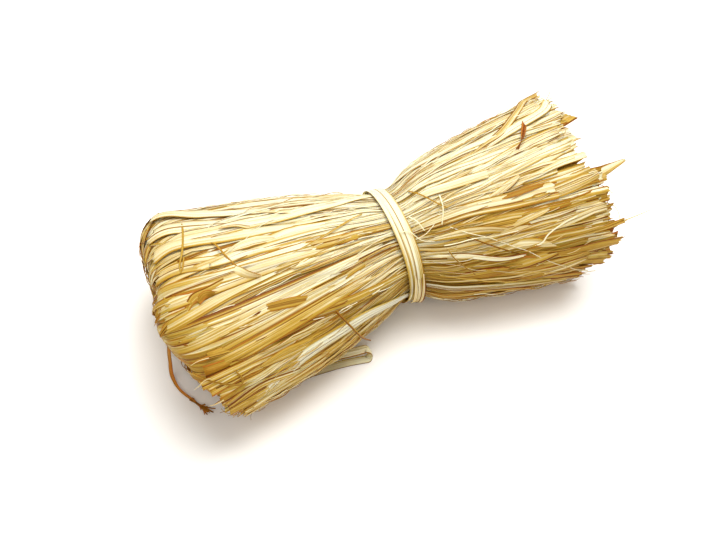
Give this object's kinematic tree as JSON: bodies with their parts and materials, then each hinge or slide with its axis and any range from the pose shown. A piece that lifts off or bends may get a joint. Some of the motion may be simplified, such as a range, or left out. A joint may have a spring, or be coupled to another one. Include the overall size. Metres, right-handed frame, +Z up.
{
  "type": "bundle of raffia",
  "caption": "Hank of flat dried palm-leaf strips, folded at one end and cut ragged at the other, tied round the waist with a strip of the same leaf and lying on its side.",
  "frame": {"origin": "middle of the bounding box on the surface the bundle lies on", "axes": "+X along the bundle towards the cut ends, +Z up, the pictured side towards -Y"},
  "size_m": [0.2624, 0.1316, 0.0784],
  "materials": {
    "raffia_pale": "dry matt leaf strip, pale straw, fine lengthwise grain",
    "raffia_straw": "dry matt leaf strip, straw yellow, fine lengthwise grain",
    "raffia_golden": "dry matt leaf strip, golden tan, fine lengthwise grain",
    "raffia_red_brown": "dry matt leaf strip, red brown, fine lengthwise grain"
  },
  "bodies": {
    "root": {"inner_strips": "raffia_golden", "outer_strip_01": "raffia_pale", "outer_strip_02": "raffia_pale", "outer_strip_03": "raffia_straw", "outer_strip_04": "raffia_straw", "outer_strip_05": "raffia_pale", "outer_strip_06": "raffia_straw", "outer_strip_07": "raffia_pale", "outer_strip_08": "raffia_pale", "outer_strip_09": "raffia_straw", "outer_strip_10": "raffia_pale", "outer_strip_11": "raffia_pale", "outer_strip_12": "raffia_straw", "outer_strip_13": "raffia_pale", "outer_strip_14": "raffia_pale", "outer_strip_15": "raffia_pale", "outer_strip_16": "raffia_straw", "outer_strip_17": "raffia_pale", "outer_strip_18": "raffia_pale", "outer_strip_19": "raffia_pale", "outer_strip_20": "raffia_pale", "outer_strip_21": "raffia_pale", "outer_strip_22": "raffia_pale", "outer_strip_23": "raffia_pale", "outer_strip_24": "raffia_pale", "outer_strip_25": "raffia_pale", "outer_strip_26": "raffia_straw", "outer_strip_27": "raffia_pale", "outer_strip_28": "raffia_pale", "outer_strip_29": "raffia_pale", "outer_strip_30": "raffia_pale", "outer_strip_31": "raffia_pale", "outer_strip_32": "raffia_pale", "outer_strip_33": "raffia_pale", "outer_strip_34": "raffia_straw", "outer_strip_35": "raffia_straw", "outer_strip_36": "raffia_straw", "outer_strip_37": "raffia_straw", "outer_strip_38": "raffia_straw", "outer_strip_39": "raffia_pale", "outer_strip_40": "raffia_straw", "outer_strip_41": "raffia_straw", "outer_strip_42": "raffia_pale", "outer_strip_43": "raffia_straw", "outer_strip_44": "raffia_straw", "overlying_strip_1": "raffia_pale", "overlying_strip_2": "raffia_pale", "overlying_strip_3": "raffia_straw", "overlying_strip_4": "raffia_pale", "overlying_strip_5": "raffia_pale", "overlying_strip_6": "raffia_pale", "overlying_strip_7": "raffia_straw", "overlying_strip_8": "raffia_pale", "tie": "raffia_pale", "dangling_strip": "raffia_red_brown", "long_tip_strip": "raffia_pale", "crossing_strip": "raffia_golden", "looped_strip": "raffia_pale"}
  },
  "joints": []
}
